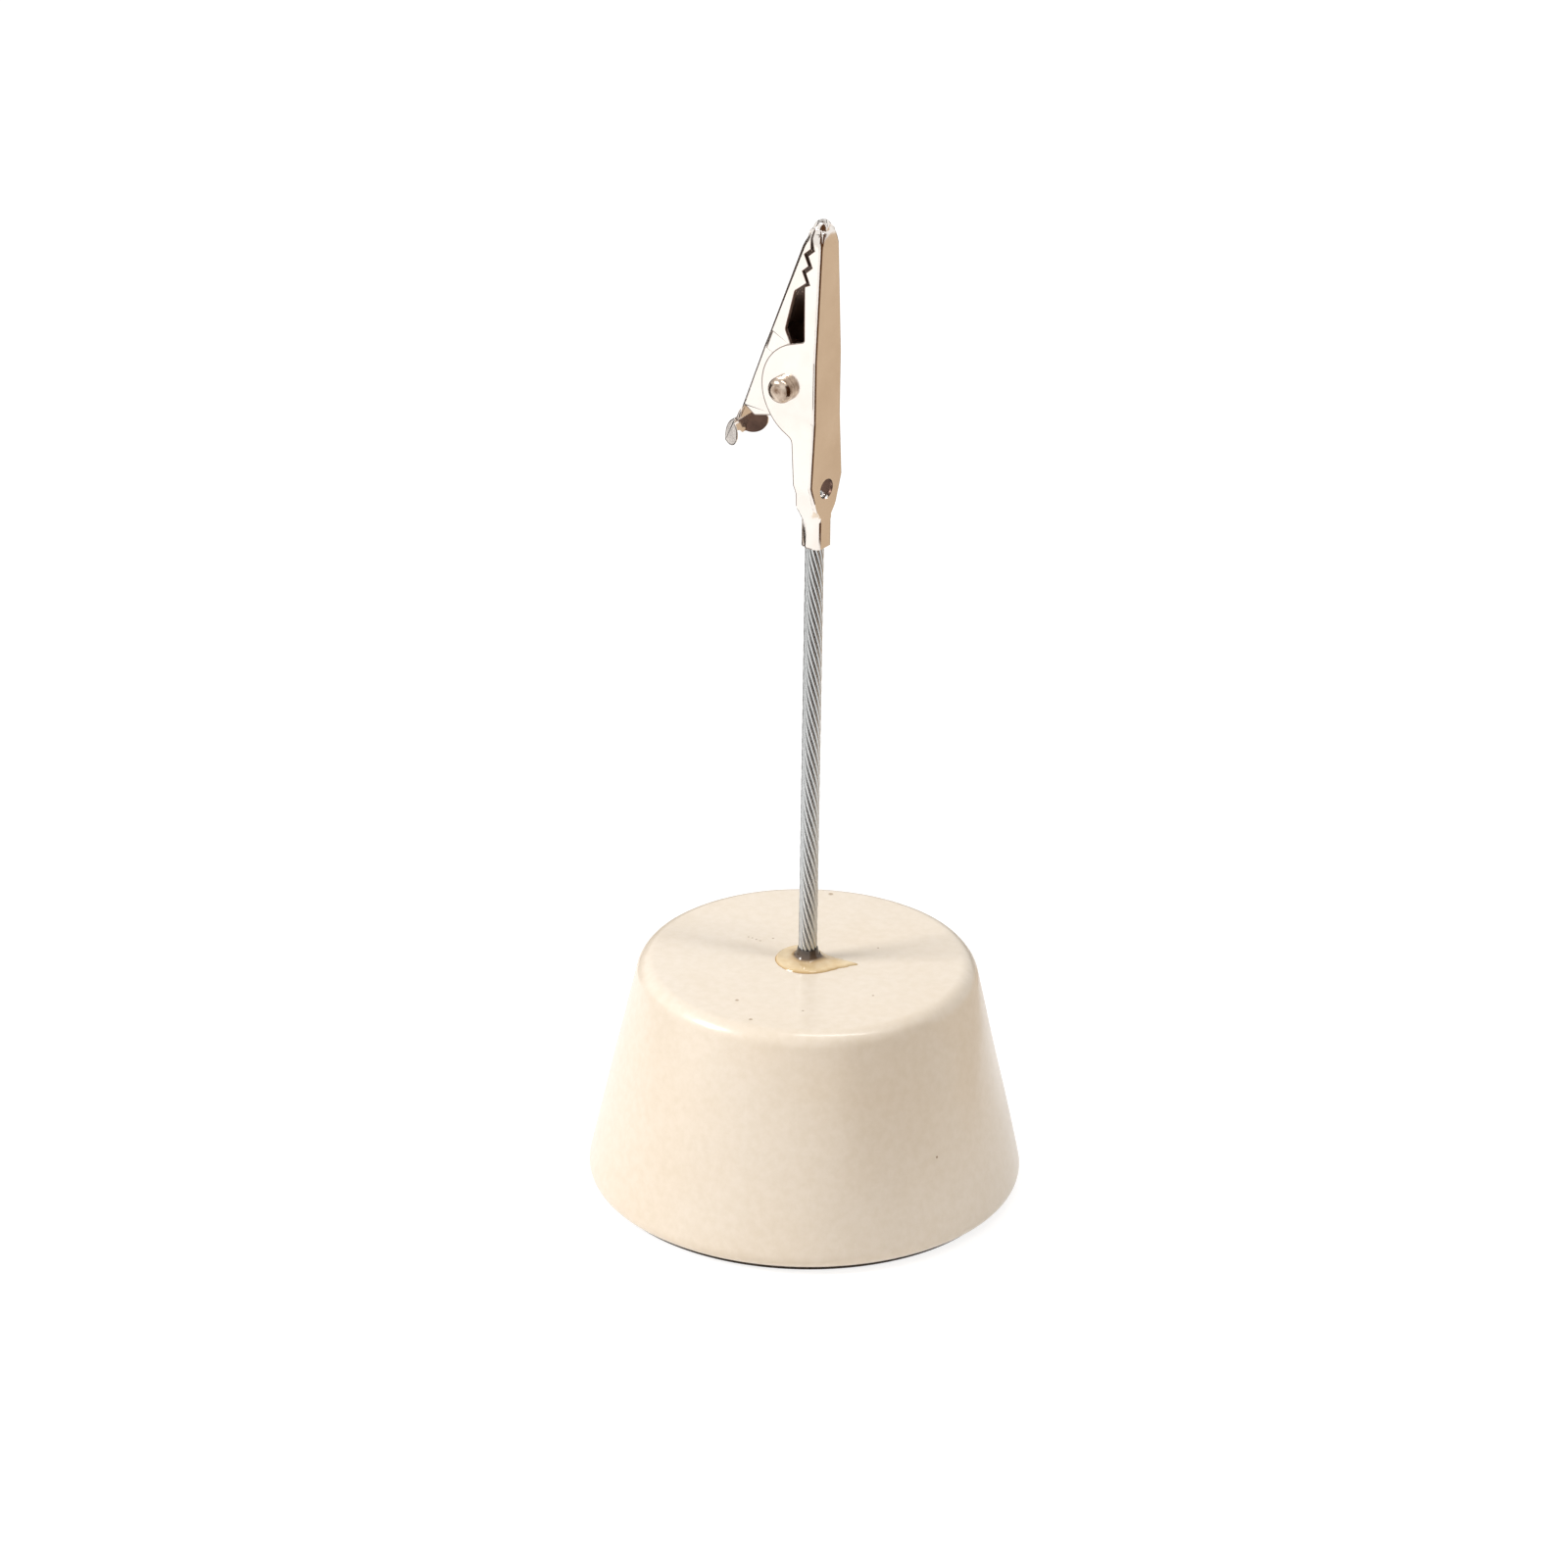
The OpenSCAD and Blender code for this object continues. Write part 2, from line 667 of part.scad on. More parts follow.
base_body();
base_pad();
glue_bead();
stem_wire(0, 0);  // stem_core_wire
for (i = [1:INNER_WIRES])
    stem_wire(wire_d, 360 / INNER_WIRES * i);
for (i = [1:OUTER_WIRES])
    stem_wire(2 * wire_d, 360 / OUTER_WIRES * i);
fixed_jaw();
moving_jaw();
pivot_rivet();
torsion_spring();
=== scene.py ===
"""Memo clip holder: a cast base, a stem of steel strand set in adhesive, and a sprung toothed clip.

The shapes that are given here are in millimetres, from the centre of the underside, Z up. The clip's rivet
runs along Y. Directions round the object that concern the camera are turned from it, to its right.
"""

from math import asin, atan2, cos, degrees, pi, radians, sin, sqrt, tan

import bmesh
import bpy
from mathutils import Matrix, Vector, noise
from mathutils.bvhtree import BVHTree


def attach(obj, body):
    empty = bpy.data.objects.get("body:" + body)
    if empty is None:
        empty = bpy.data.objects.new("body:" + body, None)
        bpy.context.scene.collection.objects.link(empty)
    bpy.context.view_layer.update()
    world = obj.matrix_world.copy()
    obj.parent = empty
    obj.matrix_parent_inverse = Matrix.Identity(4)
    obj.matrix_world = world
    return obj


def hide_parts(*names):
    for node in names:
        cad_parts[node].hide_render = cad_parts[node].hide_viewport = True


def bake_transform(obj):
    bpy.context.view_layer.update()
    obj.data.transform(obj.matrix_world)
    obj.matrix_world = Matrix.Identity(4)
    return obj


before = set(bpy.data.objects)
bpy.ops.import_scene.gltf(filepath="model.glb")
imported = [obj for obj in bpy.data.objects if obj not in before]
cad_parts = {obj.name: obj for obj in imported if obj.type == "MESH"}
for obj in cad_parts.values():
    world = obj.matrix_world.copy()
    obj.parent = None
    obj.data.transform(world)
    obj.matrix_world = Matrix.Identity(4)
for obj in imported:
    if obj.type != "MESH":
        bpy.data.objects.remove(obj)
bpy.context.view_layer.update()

MM = 0.001

# Base and its pad
BASE_W = 44.3
BASE_TOP_W = 33.8
BASE_H = 24.5
PAD_H = 0.5
PAD_W = 40.9
FOOT_ROUND = 1.4
TOP_ROUND = 1.8

# Stem: a strand of one core wire, six inner and twelve outer ones, laid left-handed
WIRE_W = 0.37
INNER_LAYER_R = 0.38
OUTER_LAYER_R = 0.76
STEM_R = 0.95
STEM_BOTTOM = 10.5
STEM_TOP = 76.0
LAY_LENGTH = 17.8
INNER_WIRES = 6
OUTER_WIRES = 12

# Adhesive
HOLE_R = 1.15
HOLE_BOTTOM = 10.0

# Rivet: its axis, its shank and its domed heads, which sit on the outer ears
RIVET_X = -2.41
RIVET_Z = 87.5
RIVET_R = 0.8
HEAD_R = 1.35
HEAD_H = 1.35
HEAD_DOME = 0.8
EARS_HALF = 2.25

# Jaws: the heights of the clip's nose, of the moving jaw's heel and of the slot's foot
CLIP_TOP = 105.5
HEEL_Z = 84.2
SLOT_LOW = 93.1
# Cut edges are eased by EDGE_EASE, and beside them the plate is dull and painted darker, as shade, over
# EDGE_STRIP, except behind FOLD_X
EDGE_EASE = 0.09
EDGE_STRIP = 0.11
FOLD_X = 0.6

# A jaw's finishes, in the order in which its mesh holds them: its plate, then the painted shade of its inner
# side and of its edge strips
OUTER_FINISH, INNER_PAINTED_SHADE, EDGE_PAINTED_SHADE = range(3)

# Crimp: its top; the flat that carries on the jaw's back, with half its width, how far out it lies and how
# far up the neck it reaches; and the angle from the flat's middle at which the tube is round again
CRIMP_TOP = 73.4
CRIMP_FLAT = 0.85
CRIMP_OUT = STEM_R + 0.34
NECK_SQUARED = 2.2
CRIMP_ROUND = radians(75)

# Nose: where its bulb starts, its middle, half its depth and width, and how square it is
NOSE_LOW = 102.9
NOSE_X = 0.3
NOSE_HALF_D = 1.1
NOSE_HALF_W = 1.5
NOSE_POWER = 2.3

# Spring: its wire, its coil, and where each leg ends from the rivet's axis, as [x, z]
SPRING_WIRE_R = 0.18
COIL_R = 1.7
COIL_HALF = 1.32
COIL_TURNS = 3
FIXED_LEG_END = (3.21, -7.0)
MOVING_LEG_END = (-4.44, -2.22)

# Sides of a round wire
WIRE_SIDES = 14

# A jaw's edge that is sharper than this is eased
SHARP_EDGE = radians(40)

# Camera: its direction round the object from -Y, how far it looks down, its roll, and its place in mm
CAMERA_TURN = radians(36.5)
CAMERA_DOWN = radians(25.93)
CAMERA_ROLL = radians(0.9)
CAMERA_AWAY = 1195.0
CAMERA_RIGHT = -2.65
CAMERA_UP = 39.62


def colour(code):
    """The linear colour of an sRGB hex code."""
    parts = [int(code[i:i + 2], 16) / 255 for i in (1, 3, 5)]
    return [c / 12.92 if c <= 0.04045 else ((c + 0.055) / 1.055) ** 2.4 for c in parts] + [1.0]


def add(tree, kind, inputs=None, **settings):
    """Adds a node: inputs gives its sockets values or links, settings its properties."""
    node = tree.nodes.new(kind)
    for key, value in settings.items():
        setattr(node, key, value)
    for key, value in (inputs or {}).items():
        if isinstance(value, bpy.types.NodeSocket):
            tree.links.new(value, node.inputs[key])
        else:
            node.inputs[key].default_value = value
    return node


def finish(name, **values):
    """A new material: its node tree, its shader, and a place on the object in millimetres."""
    made = bpy.data.materials.new(name)
    made.use_nodes = True
    tree = made.node_tree
    tree.nodes.clear()
    shader = add(tree, "ShaderNodeBsdfPrincipled", {key.replace("_", " "): v for key, v in values.items()})
    add(tree, "ShaderNodeOutputMaterial", {"Surface": shader.outputs["BSDF"]})
    place = add(tree, "ShaderNodeTexCoord").outputs["Object"]
    in_mm = add(tree, "ShaderNodeVectorMath", {0: place, "Scale": 1 / MM}, operation="SCALE").outputs["Vector"]
    return made, tree, shader, in_mm


def steps(ramp, stops):
    """Sets a colour ramp's stops, given as [place, hex code]."""
    band = ramp.color_ramp
    while len(band.elements) < len(stops):
        band.elements.new(0.5)
    for stop, (at, code) in zip(band.elements, stops):
        stop.position = at
        stop.color = colour(code)


def lacquered_cast_plaster():
    """Cast plaster under a satin lacquer: cream, softly uneven, with a skin of faint orange peel, a few
    pinholes from air in the cast, and the pits marked on its top, both painted dark brown as shade in them."""
    made, tree, shader, mm = finish("lacquered_cast_plaster", Roughness=0.34, IOR=1.5)
    shader.inputs["Specular IOR Level"].default_value = 0.4
    shader.inputs["Coat Weight"].default_value = 0.4
    shader.inputs["Coat Roughness"].default_value = 0.15
    # Clouds of a slightly deeper cream, about 14 mm across
    clouds = add(tree, "ShaderNodeTexNoise", {"Vector": mm, "Scale": 1 / 14, "Detail": 3.0, "Roughness": 0.55})
    # Grain of the plaster, about 0.9 mm
    grain = add(tree, "ShaderNodeTexNoise", {"Vector": mm, "Scale": 1 / 0.9, "Detail": 4.0, "Roughness": 0.6})
    tint = add(tree, "ShaderNodeValToRGB", {"Fac": clouds.outputs["Fac"]})
    steps(tint, [(0.3, "#EEE2D0"), (0.7, "#F1E8DA")])
    fine = add(tree, "ShaderNodeValToRGB", {"Fac": grain.outputs["Fac"]})
    steps(fine, [(0.35, "#FAF9F6"), (0.65, "#FFFFFF")])
    base = add(tree, "ShaderNodeMix", {0: 1.0, 6: tint.outputs["Color"], 7: fine.outputs["Color"]},
               data_type="RGBA", blend_type="MULTIPLY")
    # Pinholes: cells 5 mm across, some of them with a spot about 0.12 mm in radius
    cells = add(tree, "ShaderNodeTexVoronoi", {"Vector": mm, "Scale": 1 / 5, "Randomness": 1.0})
    rare = add(tree, "ShaderNodeSeparateColor", {"Color": cells.outputs["Color"]})
    some = add(tree, "ShaderNodeMath", {0: rare.outputs["Red"], 1: 0.62}, operation="GREATER_THAN")
    spot = add(tree, "ShaderNodeMapRange", {"Value": cells.outputs["Distance"], "From Min": 0.016,
                                            "From Max": 0.034, "To Min": 1.0, "To Max": 0.0},
               interpolation_type="SMOOTHSTEP")
    holes = add(tree, "ShaderNodeMath", {0: spot.outputs["Result"], 1: some.outputs["Value"]},
                operation="MULTIPLY")
    # The larger pits on the top, each [x, y, radius]
    pits = holes.outputs["Value"]
    for x, y, r in TOP_PITS:
        away = add(tree, "ShaderNodeVectorMath", {0: mm, 1: (x, y, BASE_H)}, operation="DISTANCE")
        pit = add(tree, "ShaderNodeMapRange", {"Value": away.outputs["Value"], "From Min": 0.5 * r,
                                               "From Max": 1.3 * r, "To Min": 0.8, "To Max": 0.0},
                  interpolation_type="SMOOTHSTEP")
        pits = add(tree, "ShaderNodeMath", {0: pits, 1: pit.outputs["Result"]},
                   operation="MAXIMUM").outputs["Value"]
    # Pinholes and pits are painted dark brown: painted shade in these hollows
    with_pit_shade = add(tree, "ShaderNodeMix", {0: pits, 6: base.outputs[2], 7: colour("#A98F6E")}, data_type="RGBA")
    tree.links.new(with_pit_shade.outputs[2], shader.inputs["Base Color"])
    # The lacquer is thinner in places
    gloss = add(tree, "ShaderNodeMapRange", {"Value": clouds.outputs["Fac"], "From Min": 0.3, "From Max": 0.7,
                                             "To Min": 0.28, "To Max": 0.4})
    tree.links.new(gloss.outputs["Result"], shader.inputs["Roughness"])
    # Orange peel, about 0.7 mm across, and waves left by the mould, about 6 mm
    peel = add(tree, "ShaderNodeTexNoise", {"Vector": mm, "Scale": 1 / 0.7, "Detail": 2.0, "Roughness": 0.5})
    waves = add(tree, "ShaderNodeTexNoise", {"Vector": mm, "Scale": 1 / 6, "Detail": 1.0, "Roughness": 0.4})
    lift = add(tree, "ShaderNodeBump", {"Height": waves.outputs["Fac"], "Strength": 0.5, "Distance": 0.08 * MM})
    skin = add(tree, "ShaderNodeBump", {"Height": peel.outputs["Fac"], "Strength": 0.5, "Distance": 0.01 * MM,
                                        "Normal": lift.outputs["Normal"]})
    sunk = add(tree, "ShaderNodeBump", {"Height": pits, "Strength": 0.8, "Distance": 0.06 * MM,
                                        "Normal": skin.outputs["Normal"]}, invert=True)
    tree.links.new(sunk.outputs["Normal"], shader.inputs["Normal"])
    return made


def foam_rubber():
    """Die-cut foam rubber: dark, dull and finely porous."""
    made, tree, shader, mm = finish("foam_rubber", Roughness=0.9, IOR=1.45)
    pores = add(tree, "ShaderNodeTexVoronoi", {"Vector": mm, "Scale": 1 / 0.35})
    tint = add(tree, "ShaderNodeValToRGB", {"Fac": pores.outputs["Distance"]})
    steps(tint, [(0.05, "#2A231E"), (0.6, "#4A4038")])
    tree.links.new(tint.outputs["Color"], shader.inputs["Base Color"])
    dents = add(tree, "ShaderNodeBump", {"Height": pores.outputs["Distance"], "Strength": 0.5,
                                         "Distance": 0.08 * MM})
    tree.links.new(dents.outputs["Normal"], shader.inputs["Normal"])
    return made


def cured_epoxy():
    """Poured epoxy: glossy and golden, darker towards its rim, and dark on the collar up the stem as a painted
    reflection of the stem.
    """
    made, tree, shader, mm = finish("cured_epoxy", Roughness=0.12, IOR=1.53)
    place = add(tree, "ShaderNodeSeparateXYZ", {"Vector": mm})
    height = add(tree, "ShaderNodeMapRange", {"Value": place.outputs["Z"], "From Min": BASE_H - 0.02,
                                              "From Max": BASE_H + 1.3})
    # Colour by height: darker towards the rim, pale golden over the pool, and dark grey-brown on the collar,
    # painted reflection of the stem
    depth = add(tree, "ShaderNodeValToRGB", {"Fac": height.outputs["Result"]})
    steps(depth, [(0.0, "#97764A"), (0.06, "#CFB383"), (0.18, "#F0DDB6"), (0.3, "#C9AF86"), (0.46, "#66574A"),
                  (1.0, "#4E4640")])
    swirl = add(tree, "ShaderNodeTexNoise", {"Vector": mm, "Scale": 1 / 1.6, "Detail": 3.0, "Roughness": 0.5})
    streaks = add(tree, "ShaderNodeValToRGB", {"Fac": swirl.outputs["Fac"]})
    steps(streaks, [(0.35, "#F2E9DA"), (0.65, "#FFFFFF")])
    mixed = add(tree, "ShaderNodeMix", {0: 1.0, 6: depth.outputs["Color"], 7: streaks.outputs["Color"]},
                data_type="RGBA", blend_type="MULTIPLY")
    tree.links.new(mixed.outputs[2], shader.inputs["Base Color"])
    flow = add(tree, "ShaderNodeBump", {"Height": swirl.outputs["Fac"], "Strength": 0.4, "Distance": 0.06 * MM})
    tree.links.new(flow.outputs["Normal"], shader.inputs["Normal"])
    return made


def drawn_steel_wire():
    """Stainless wire, drawn through a die: grey and bright, with fine lines along the wire."""
    made, tree, shader, mm = finish("drawn_steel_wire", Metallic=1.0, Roughness=0.32)
    # The die's lines run nearly upright: 0.05 mm across, 3 mm long
    along = add(tree, "ShaderNodeMapping", {"Vector": mm, "Scale": (1 / 0.05, 1 / 0.05, 1 / 3)})
    lines = add(tree, "ShaderNodeTexNoise", {"Vector": along.outputs["Vector"], "Scale": 1.0, "Detail": 2.0})
    tint = add(tree, "ShaderNodeValToRGB", {"Fac": lines.outputs["Fac"]})
    steps(tint, [(0.3, "#B4B6B6"), (0.7, "#DADCDC")])
    tree.links.new(tint.outputs["Color"], shader.inputs["Base Color"])
    rough = add(tree, "ShaderNodeMapRange", {"Value": lines.outputs["Fac"], "To Min": 0.24, "To Max": 0.42})
    tree.links.new(rough.outputs["Result"], shader.inputs["Roughness"])
    scored = add(tree, "ShaderNodeBump", {"Height": lines.outputs["Fac"], "Strength": 0.2,
                                          "Distance": 0.01 * MM})
    tree.links.new(scored.outputs["Normal"], shader.inputs["Normal"])
    return made


def bright_nickel(name, low, high, dullest, cloud_mm=5.0):
    """Bright nickel plate over pressed steel: nearly a mirror, warm in tone, with rubbed hairlines and a
    slightly cloudy shine. Its clouds run from low to high; for the edge strips and the rivet these colours are
    painted shade and painted reflection."""
    made, tree, shader, mm = finish(name, Metallic=1.0, Roughness=0.16)
    cloud = add(tree, "ShaderNodeTexNoise", {"Vector": mm, "Scale": 1 / cloud_mm, "Detail": 3.0,
                                             "Roughness": 0.6})
    tint = add(tree, "ShaderNodeValToRGB", {"Fac": cloud.outputs["Fac"]})
    steps(tint, [(0.3, low), (0.7, high)])
    tree.links.new(tint.outputs["Color"], shader.inputs["Base Color"])
    # Hairlines 0.06 mm across and some 4 mm long
    along = add(tree, "ShaderNodeMapping", {"Vector": mm, "Rotation": (0.0, radians(12), 0.0),
                                            "Scale": (1 / 0.06, 1 / 0.06, 1 / 4)})
    hairs = add(tree, "ShaderNodeTexNoise", {"Vector": along.outputs["Vector"], "Scale": 1.0, "Detail": 2.0})
    both = add(tree, "ShaderNodeMath", {0: hairs.outputs["Fac"], 1: cloud.outputs["Fac"]}, operation="MULTIPLY")
    rough = add(tree, "ShaderNodeMapRange", {"Value": both.outputs["Value"], "From Min": 0.1, "From Max": 0.45,
                                             "To Min": 0.1, "To Max": dullest})
    tree.links.new(rough.outputs["Result"], shader.inputs["Roughness"])
    # The sheet isn't quite flat: waves 3 mm across, and the hairlines
    waves = add(tree, "ShaderNodeTexNoise", {"Vector": mm, "Scale": 1 / 3, "Detail": 1.0})
    buckle = add(tree, "ShaderNodeBump", {"Height": waves.outputs["Fac"], "Strength": 0.3,
                                          "Distance": 0.05 * MM})
    rubbed = add(tree, "ShaderNodeBump", {"Height": hairs.outputs["Fac"], "Strength": 0.1,
                                          "Distance": 0.01 * MM, "Normal": buckle.outputs["Normal"]})
    tree.links.new(rubbed.outputs["Normal"], shader.inputs["Normal"])
    return made


def inner_painted_shade_steel():
    """The sheet's inner side, across the clip's hollow: dull and brown-black, painted shade."""
    made, tree, shader, mm = finish("inner_painted_shade_steel", Metallic=0.6, Roughness=0.36)
    shade_mottle = add(tree, "ShaderNodeTexNoise", {"Vector": mm, "Scale": 1 / 1.5, "Detail": 3.0, "Roughness": 0.6})
    tint = add(tree, "ShaderNodeValToRGB", {"Fac": shade_mottle.outputs["Fac"]})
    steps(tint, [(0.3, "#4A342A"), (0.7, "#6B5144")])
    tree.links.new(tint.outputs["Color"], shader.inputs["Base Color"])
    return made


def tempered_spring_wire():
    """Oil-tempered spring wire: darker than the plate, with lines drawn round the coil."""
    made, tree, shader, mm = finish("tempered_spring_wire", Metallic=1.0, Roughness=0.38)
    round_coil = add(tree, "ShaderNodeMapping", {"Vector": mm, "Scale": (1 / 2, 1 / 0.05, 1 / 2)})
    lines = add(tree, "ShaderNodeTexNoise", {"Vector": round_coil.outputs["Vector"], "Scale": 1.0,
                                             "Detail": 2.0})
    tint = add(tree, "ShaderNodeValToRGB", {"Fac": lines.outputs["Fac"]})
    steps(tint, [(0.3, "#7A7672"), (0.7, "#9A9690")])
    tree.links.new(tint.outputs["Color"], shader.inputs["Base Color"])
    return made


def turned(corners, turns=160):
    """A closed piece turned about Z. Each corner of its profile is [radius, height, rounding]; the rounding
    is how far from the corner the edge starts to curve."""
    bm = bmesh.new()
    points = [bm.verts.new((r * MM, 0, h * MM)) for r, h, _ in corners]
    for a, b in zip(points, points[1:]):
        bm.edges.new((a, b))
    for point, (_, _, rounding) in zip(points, corners):
        if rounding:
            bmesh.ops.bevel(bm, geom=[point], offset=rounding * MM, segments=10, profile=0.5, affect="VERTICES",
                            material=-1)
    bmesh.ops.spin(bm, geom=bm.verts[:] + bm.edges[:], cent=(0, 0, 0), axis=(0, 0, 1), dvec=(0, 0, 0),
                   angle=2 * pi, steps=turns, use_merge=True)
    bmesh.ops.remove_doubles(bm, verts=bm.verts, dist=1e-7)
    bmesh.ops.recalc_face_normals(bm, faces=bm.faces)
    return bm


def piece(name, bm, made, node, sharp=35, body="holder"):
    """The finished piece, in place of its CAD node and riding on its body."""
    mesh = bpy.data.meshes.new(name)
    bm.to_mesh(mesh)
    bm.free()
    mesh.shade_smooth()
    mesh.set_sharp_from_angle(angle=radians(sharp))
    mesh.materials.append(made)
    thing = bpy.data.objects.new(name, mesh)
    bpy.context.scene.collection.objects.link(thing)
    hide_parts(node)
    if body:
        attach(thing, body)
    return thing


def cut_along(bm, low, high, gap):
    """Cuts level rings through a turned piece, so that its surface can be worked."""
    z = low + gap
    while z < high:
        bmesh.ops.bisect_plane(bm, geom=bm.verts[:] + bm.edges[:] + bm.faces[:], dist=1e-8,
                               plane_co=(0, 0, z * MM), plane_no=(0, 0, 1))
        z += gap


def on_top(right, nearer):
    """Where a point of the top lies that the camera sees so far right of its middle and nearer, in mm."""
    return (right * cos(CAMERA_TURN) + nearer * sin(CAMERA_TURN),
            right * sin(CAMERA_TURN) - nearer * cos(CAMERA_TURN))


# Each pit on the top: mm to the camera's right, mm nearer, radius
PITS_SEEN = [(2.3, -14.8, 0.26), (-7.0, 9.4, 0.2), (-5.6, 13.6, 0.2), (-0.4, 11.5, 0.13), (6.6, 7.9, 0.12),
             (7.1, -2.7, 0.12), (-6.0, -4.7, 0.1), (-5.6, -4.5, 0.1), (-5.2, -4.2, 0.1), (-4.8, -3.9, 0.1),
             (-3.5, -4.5, 0.12)]
TOP_PITS = [(*on_top(right, nearer), pit_r) for right, nearer, pit_r in PITS_SEEN]


def cast_base(made):
    """The block: turned, then made slightly uneven as a hand-poured cast is."""
    slope = atan2((BASE_W - BASE_TOP_W) / 2, BASE_H - PAD_H)
    top_reach = TOP_ROUND * tan((pi / 2 - slope) / 2)
    foot_reach = FOOT_ROUND * tan((pi / 2 + slope) / 2)
    bm = turned([
        (0, PAD_H, 0),
        (BASE_W / 2 - 6, PAD_H, 0),
        (BASE_W / 2, PAD_H, foot_reach),
        (BASE_TOP_W / 2, BASE_H, top_reach),
        # Two rings on the flat top, so that it can be worked
        (9, BASE_H, 0),
        (4, BASE_H, 0),
        (HOLE_R, BASE_H, 0),
        (HOLE_R, HOLE_BOTTOM, 0),
        (0, HOLE_BOTTOM, 0),
    ], turns=256)
    cut_along(bm, PAD_H + FOOT_ROUND, BASE_H - TOP_ROUND, 0.9)
    bm.normal_update()
    for v in bm.verts:
        r = sqrt(v.co.x ** 2 + v.co.y ** 2) / MM
        if r > HOLE_R + 1 and v.co.z > (PAD_H + 0.5) * MM:
            # Swells 9 mm across and up to 0.05 mm high, and finer ones
            lean = noise.noise(v.co / (9 * MM)) * 0.05 + noise.noise(v.co / (3.5 * MM)) * 0.015
            v.co += v.normal * lean * MM
    piece("cast_base", bm, made, "base_body")


def foot_pad(made):
    """The die-cut disc under the base."""
    bm = turned([(0, 0, 0), (PAD_W / 2, 0, 0.08), (PAD_W / 2, PAD_H, 0.08), (0, PAD_H, 0)], turns=192)
    piece("foot_pad", bm, made, "base_pad")


# The pool's outline seen from above: degrees from the camera's right, turning away from it, and radius. Its
# run is at -12 degrees. POOL_R is its radius as it is turned, before it takes this outline.
POOL_EDGE = [(-35, 3.75), (-20, 4.5), (-12, 5.3), (-6, 3.9), (2, 2.9), (14, 2.2), (32, 1.95), (60, 2.15),
             (92, 2.9), (118, 3.2), (150, 3.25), (185, 3.3), (220, 3.3), (255, 3.35), (290, 3.4), (310, 3.5)]
POOL_R = 3.1


def pool_reach(turn):
    """The radius of the pool's edge in one direction."""
    turn = (turn - POOL_EDGE[0][0]) % 360 + POOL_EDGE[0][0]
    stops = POOL_EDGE + [(POOL_EDGE[0][0] + 360, POOL_EDGE[0][1])]
    for (a, ra), (b, rb) in zip(stops, stops[1:]):
        if a <= turn <= b:
            t = (turn - a) / (b - a)
            return ra + (rb - ra) * t * t * (3 - 2 * t)


def adhesive(made):
    """The adhesive: the sleeve in the hole, the pool that spread on the top, and the collar up the stem."""
    inside = STEM_R + 0.01
    bm = turned([
        (0, STEM_BOTTOM, 0),
        (inside, STEM_BOTTOM, 0),
        (inside, BASE_H + 1.35, 0),
        (inside + 0.06, BASE_H + 1.38, 0.02),
        (1.18, BASE_H + 0.75, 0.25),
        (1.55, BASE_H + 0.34, 0.2),
        (2.3, BASE_H + 0.25, 0.25),
        (2.93, BASE_H + 0.2, 0.12),
        (POOL_R, BASE_H - 0.03, 0.03),
        (HOLE_R, BASE_H - 0.05, 0),
        (HOLE_R, HOLE_BOTTOM, 0),
        (0, HOLE_BOTTOM, 0),
    ], turns=144)
    collar = 1.25
    for v in bm.verts:
        r = sqrt(v.co.x ** 2 + v.co.y ** 2) / MM
        if r > collar and v.co.z > (BASE_H - 0.1) * MM:
            turn = degrees(atan2(v.co.y, v.co.x)) - degrees(CAMERA_TURN)
            spread = collar + (r - collar) * (pool_reach(turn) - collar) / (POOL_R - collar)
            v.co.x *= spread / r
            v.co.y *= spread / r
            if v.co.z > BASE_H * MM:
                # Its surface is uneven, in swells 1.3 mm across
                sag = 1 + 0.25 * noise.noise(v.co / (1.3 * MM))
                v.co.z = BASE_H * MM + (v.co.z - BASE_H * MM) * sag
    piece("adhesive", bm, made, "glue_bead", sharp=50)


def strand_wire(name, node, made, layer_r, turn):
    """One wire, laid round the core."""
    rise = STEM_TOP - STEM_BOTTOM
    lay = 2 * pi * layer_r / LAY_LENGTH
    bm = bmesh.new()
    start = (Matrix.Rotation(turn, 4, "Z") @ Matrix.Translation((layer_r * MM, 0, STEM_BOTTOM * MM))
             @ Matrix.Diagonal((1, sqrt(1 + lay * lay), 1, 1)))
    bmesh.ops.create_circle(bm, segments=WIRE_SIDES, radius=WIRE_W / 2 * MM, matrix=start)
    rings = 130
    bmesh.ops.spin(bm, geom=bm.verts[:] + bm.edges[:], cent=(0, 0, 0), axis=(0, 0, 1),
                   dvec=(0, 0, rise / rings * MM), angle=-2 * pi * rise / LAY_LENGTH, steps=rings)
    bmesh.ops.remove_doubles(bm, verts=bm.verts, dist=1e-8)
    bmesh.ops.holes_fill(bm, edges=[e for e in bm.edges if e.is_boundary], sides=0)
    bmesh.ops.recalc_face_normals(bm, faces=bm.faces)
    piece(name, bm, made, node, sharp=50)


def sheet_of(node):
    """A jaw's sheet as the CAD node has it, its triangles joined up."""
    bm = bmesh.new()
    bm.from_mesh(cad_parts[node].data)
    bmesh.ops.remove_doubles(bm, verts=bm.verts, dist=2e-7)
    bmesh.ops.dissolve_limit(bm, angle_limit=radians(0.4), verts=bm.verts[:], edges=bm.edges[:])
    return bm


def inner_side(face, walls, hollow_low):
    """Whether a face of a jaw looks across the clip's hollow at another wall. Under hollow_low, only the far
    side's inner face counts."""
    centre = face.calc_center_median()
    if face.normal.y * centre.y > 0 and abs(face.normal.y) > 0.5:
        return False
    if centre.z < hollow_low * MM:
        return centre.y > MM and face.normal.y < -0.5
    start = centre + face.normal * 0.01 * MM
    return any(wall.ray_cast(start, face.normal, 8 * MM)[0] for wall in walls)


